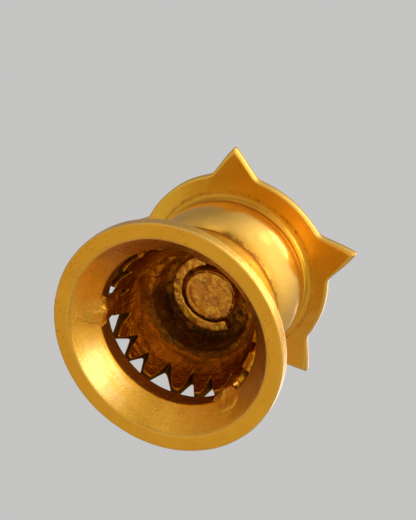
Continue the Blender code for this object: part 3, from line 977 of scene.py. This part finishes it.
def lug_path(sizes, middle, low):
    """The line in (r, z) of a lug's face: up the cone, on past the throat and up the crown."""
    tip = sizes.tooth_height
    cone = cone_slope(sizes)
    throat = Vector((sizes.throat_radius, sizes.throat_height))
    beyond = throat + Vector((cone, 1.0)) * 0.0020
    crown = [
        Vector((crown_inner_radius(height, middle, tip), height))
        for height in (tip + 0.0012, tip + 0.0030, tip + 0.0048)
    ]
    line = [(sizes.mouth_radius + cone * low, low)]
    line += corner(throat, beyond, crown[0], 0.0016, 6) + [tuple(point) for point in crown]
    return divided(line, 0.0003, closed=False)


def lug_back(sizes, angle, height):
    """Radius just inside the metal that a lug is joined to, at an angle and a height."""
    if height < sizes.throat_height:
        return sizes.mouth_radius + cone_slope(sizes) * height + 0.0003
    if height < sizes.tooth_height:
        return sizes.throat_radius + 0.0003
    return crown_inner_radius(height, angle, sizes.tooth_height) + 0.0005


def build_lug(sizes, node, middle, width, low, thickness, sharp, seed, material):
    """A smeared tab of brass that ties the foot to the crown, feathered out at its edges."""
    line = [Vector(point) for point in lug_path(sizes, math.radians(middle), low)]
    mesh = bmesh.new()
    bmesh.ops.create_grid(mesh, x_segments=56, y_segments=len(line) - 1, size=1.0)
    for vertex in mesh.verts:
        side, along = vertex.co.x, (vertex.co.y + 1) / 2
        index = min(len(line) - 1, round(along * (len(line) - 1)))
        before, after = line[max(0, index - 1)], line[min(len(line) - 1, index + 1)]
        step = (after - before).normalized()
        inward = Vector((-step.y, step.x))
        flare = 1.0 - 0.48 * smooth_step(0.25, 0.60, along) - 0.35 * smooth_step(0.14, 0.0, along)
        flare += 0.10 * lumps((along, 0, 0), 0.3, seed)
        angle = math.radians(middle + side * width / 2 * flare)
        keen = sharp if side < 0 else 0.0
        dome = (1 - abs(side) ** (2.0 + 6.0 * keen)) ** (2.2 - 1.7 * keen)
        rise = smooth_step(0.0, 0.60, along) * smooth_step(1.0, 0.85, along)
        rise = max(0.35 * sharp * smooth_step(0.0, 0.06, along), rise)
        bump = 1 + 0.35 * lumps((side * 0.8, along * 2, 0), 0.6, seed + 1, 2)
        folds = lumps((side * 0.5, along * 1.6, 0), 0.22, seed + 5, 3)
        folds *= smooth_step(0.25, 0.45, along) * smooth_step(1.0, 0.8, along) * dome
        lift = -0.00012 + thickness * bump * rise * dome + 0.00030 * folds
        r, z = line[index] + inward * lift
        vertex.co = around(r, angle, z)
    mesh.normal_update()
    roughen(mesh, 0.0012, 0.00003, seed + 2)
    front = mesh.faces[:]
    grown = bmesh.ops.extrude_face_region(mesh, geom=front, use_keep_orig=True)
    for item in grown["geom"]:
        if isinstance(item, bmesh.types.BMVert):
            r, angle, z = polar(item.co)
            r = max(r + 0.0002, lug_back(sizes, angle, z))
            item.co = around(r, angle, z)
    bmesh.ops.recalc_face_normals(mesh, faces=mesh.faces)
    finish_piece(node + "_smear", mesh, material, "polished_brass", node)


def build_lugs(sizes, colours):
    material = polished_foot_brass(colours, sizes, "lug_brass", 0.25)
    for lug in LUGS:
        build_lug(sizes, *lug, material)


# ---- studio


def stage_material(colours):
    """The floor's pale paint, which lets light and sight through from below."""
    metal = Metal("plain_floor")
    cloud = metal.grain(0.08, 3.0)
    metal.colour = metal.mix(cloud * 0.12, colours.floor, colours.floor_cloud)
    metal.shade(0.6 + 0.1 * cloud, 0.00001 * cloud, 0.0, 0.0)
    behind = metal.add("ShaderNodeNewGeometry").value("Backfacing")
    clear = metal.add("ShaderNodeBsdfTransparent").value()
    paint = Value(metal, metal.surface.outputs[0])
    mixed = metal.add("ShaderNodeMixShader", {}, {0: behind, 1: paint, 2: clear}).value()
    metal.tree.links.new(mixed.socket, metal.tree.nodes["Material Output"].inputs["Surface"])
    return metal.material


def build_floor(colours):
    mesh = bmesh.new()
    bmesh.ops.create_grid(mesh, x_segments=1, y_segments=1, size=FLOOR_REACH)
    bmesh.ops.translate(mesh, verts=mesh.verts, vec=(0, 0, -FLOOR_DROP))
    floor = object_of("floor", mesh, stage_material(colours))
    floor.visible_glossy = False
    floor.visible_shadow = False


# Softboxes: azimuth and elevation of the direction they shine from, in degrees, their
# distance from the target, width, height, radiance and colour. low_key shines up close below
# the foot, so that its reflection falls on the cone and the bulge.
SOFTBOX_TARGET = (0.0, 0.0, 0.025)
DAYLIGHT = (1.0, 0.98, 0.95)
SOFTBOXES = (
    ("key", -60.0, 50.0, 0.70, 0.40, 0.20, 3.0, DAYLIGHT),
    ("side_key", -86.0, 22.0, 0.70, 0.14, 0.24, 1.1, DAYLIGHT),
    ("low_key", -56.7, -34.5, 0.148, 0.070, 0.045, 2.8, DAYLIGHT),
    ("left_fill", -141.0, -17.0, 0.70, 0.28, 0.24, 0.45, (1.0, 0.97, 0.94)),
    ("top", 40.0, 68.0, 0.90, 0.60, 0.60, 1.2, DAYLIGHT),
)


def build_softbox(name, azimuth, elevation, distance, width, height, radiance, colour):
    lamp = bpy.data.lights.new(name, "AREA")
    lamp.shape = "RECTANGLE"
    lamp.size, lamp.size_y = width, height
    lamp.color = colour
    lamp.energy = radiance * width * height * math.pi
    softbox = bpy.data.objects.new(name, lamp)
    softbox.visible_camera = False
    bpy.context.scene.collection.objects.link(softbox)
    a, e = math.radians(azimuth), math.radians(elevation)
    away = Vector((math.cos(a) * math.cos(e), math.sin(a) * math.cos(e), math.sin(e)))
    softbox.location = Vector(SOFTBOX_TARGET) + away * distance
    softbox.rotation_euler = away.to_track_quat("Z", "Y").to_euler()


def build_world(colours):
    """A pale backdrop for the eye, and for the metal a room that is brightest on one side."""
    world = bpy.context.scene.world or bpy.data.worlds.new("studio")
    bpy.context.scene.world = world
    world.use_nodes = True
    world.node_tree.nodes.clear()
    room = Tree(world.node_tree, "Generated")
    level = room.r.largest(0.05)
    toward = math.radians(-66.0)
    facing = (room.x * math.cos(toward) + room.y * math.sin(toward)) / level
    glow = facing.largest(0.0) ** 2.4 * room.r ** 0.4
    away = math.radians(172.0)
    shade = ((room.x * math.cos(away) + room.y * math.sin(away)) / level).rise(0.1, 0.9)
    shade = shade * room.z.rise(0.05, 0.35) * room.z.rise(0.99, 0.80)
    low = room.z.rise(-0.15, -0.45) * facing.rise(0.0, 0.5)
    below = room.z.rise(-0.55, -0.80)
    brightness = 0.48 + 1.0 * glow - 0.16 * shade - 0.36 * low + 0.18 * below
    warm = {"Color": (1.0, 0.965, 0.92), "Strength": brightness}
    light = room.add("ShaderNodeBackground", {}, warm)
    seen = room.add("ShaderNodeBackground", {}, {"Color": tuple(colours.backdrop)})
    camera = room.add("ShaderNodeLightPath").value("Is Camera Ray")
    parts = {0: camera, 1: light.value(), 2: seen.value()}
    mixed = room.add("ShaderNodeMixShader", {}, parts).value()
    out = room.add("ShaderNodeOutputWorld", {}, {"Surface": mixed})
    out.node.is_active_output = True


def build_camera():
    """A long lens below the lamp, given by its place and its right, up and back directions."""
    data = bpy.data.cameras.new("camera")
    data.lens = 111.69
    data.sensor_width = 36.0
    data.clip_start, data.clip_end = 0.01, 10.0
    camera = bpy.data.objects.new("camera", data)
    right = Vector((0.75563, -0.52803, 0.38756))
    up = Vector((-0.65239, -0.65950, 0.37344))
    back = Vector((0.05841, -0.53502, -0.84282))
    turn = Matrix((right, up, back)).transposed()
    camera.matrix_world = Matrix.Translation((0.020777, -0.261712, -0.36608)) @ turn.to_4x4()
    bpy.context.scene.collection.objects.link(camera)
    bpy.context.scene.camera = camera


def build_stage(sizes, colours):
    build_floor(colours)
    build_world(colours)
    for softbox in SOFTBOXES:
        build_softbox(*softbox)
    build_camera()
    bpy.context.scene.view_settings.view_transform = "Standard"


# ---- operators and panel


class LampOperator:
    """What the lamp's operators share: each makes its pieces from the scene's settings."""

    bl_options = {"REGISTER", "UNDO"}

    def execute(self, context):
        for build in self.builders:
            build(context.scene.lamp_sizes, context.scene.lamp_colours)
        return {"FINISHED"}


class LAMP_OT_foot(LampOperator, bpy.types.Operator):
    """Make the flared foot with its ring face, cone and throat"""

    bl_idname = "puja_lamp.foot"
    bl_label = "Foot"
    builders = (build_foot,)


class LAMP_OT_cup(LampOperator, bpy.types.Operator):
    """Make the cup with its sawn crown and rough recess"""

    bl_idname = "puja_lamp.cup"
    bl_label = "Crown and cup"
    builders = (build_cup, build_joint_grime)


class LAMP_OT_dish(LampOperator, bpy.types.Operator):
    """Make the dish with its five-point rim and oil well"""

    bl_idname = "puja_lamp.dish"
    bl_label = "Dish and star rim"
    builders = (build_dish,)


class LAMP_OT_braze(LampOperator, bpy.types.Operator):
    """Make the bead of braze round the neck"""

    bl_idname = "puja_lamp.braze"
    bl_label = "Braze bead"
    builders = (build_braze,)


class LAMP_OT_rivet(LampOperator, bpy.types.Operator):
    """Make the rivet with its boss and dome"""

    bl_idname = "puja_lamp.rivet"
    bl_label = "Rivet"
    builders = (build_rivet,)


class LAMP_OT_collar(LampOperator, bpy.types.Operator):
    """Make the broken collar round the boss"""

    bl_idname = "puja_lamp.collar"
    bl_label = "Broken collar"
    builders = (build_collar,)


class LAMP_OT_lugs(LampOperator, bpy.types.Operator):
    """Make the three smeared lugs between foot and crown"""

    bl_idname = "puja_lamp.lugs"
    bl_label = "Lugs"
    builders = (build_lugs,)


class LAMP_OT_stage(LampOperator, bpy.types.Operator):
    """Make the floor, backdrop, softboxes and camera"""

    bl_idname = "puja_lamp.stage"
    bl_label = "Studio"
    builders = (build_stage,)


class LAMP_PT_maker(bpy.types.Panel):
    """Lists the lamp's pieces, sizes and colours"""

    bl_idname = "LAMP_PT_maker"
    bl_label = "Puja Lamp"
    bl_space_type = "VIEW_3D"
    bl_region_type = "UI"
    bl_category = "Puja Lamp"

    def draw(self, context):
        layout = self.layout
        for operator in OPERATORS:
            layout.operator(operator.bl_idname)
        for group in (context.scene.lamp_sizes, context.scene.lamp_colours):
            box = layout.box()
            for name in group.bl_rna.properties.keys():
                if name not in ("rna_type", "name"):
                    box.prop(group, name)


OPERATORS = (
    LAMP_OT_foot,
    LAMP_OT_cup,
    LAMP_OT_dish,
    LAMP_OT_braze,
    LAMP_OT_rivet,
    LAMP_OT_collar,
    LAMP_OT_lugs,
    LAMP_OT_stage,
)
CLASSES = (LampSizes, LampColours, *OPERATORS, LAMP_PT_maker)


def register():
    for one in CLASSES:
        bpy.utils.register_class(one)
    bpy.types.Scene.lamp_sizes = PointerProperty(type=LampSizes)
    bpy.types.Scene.lamp_colours = PointerProperty(type=LampColours)


def unregister():
    del bpy.types.Scene.lamp_colours
    del bpy.types.Scene.lamp_sizes
    for one in reversed(CLASSES):
        bpy.utils.unregister_class(one)


def main():
    register()
    for operator in OPERATORS:
        group, name = operator.bl_idname.split(".")
        getattr(getattr(bpy.ops, group), name)()


if __name__ == "__main__":
    main()
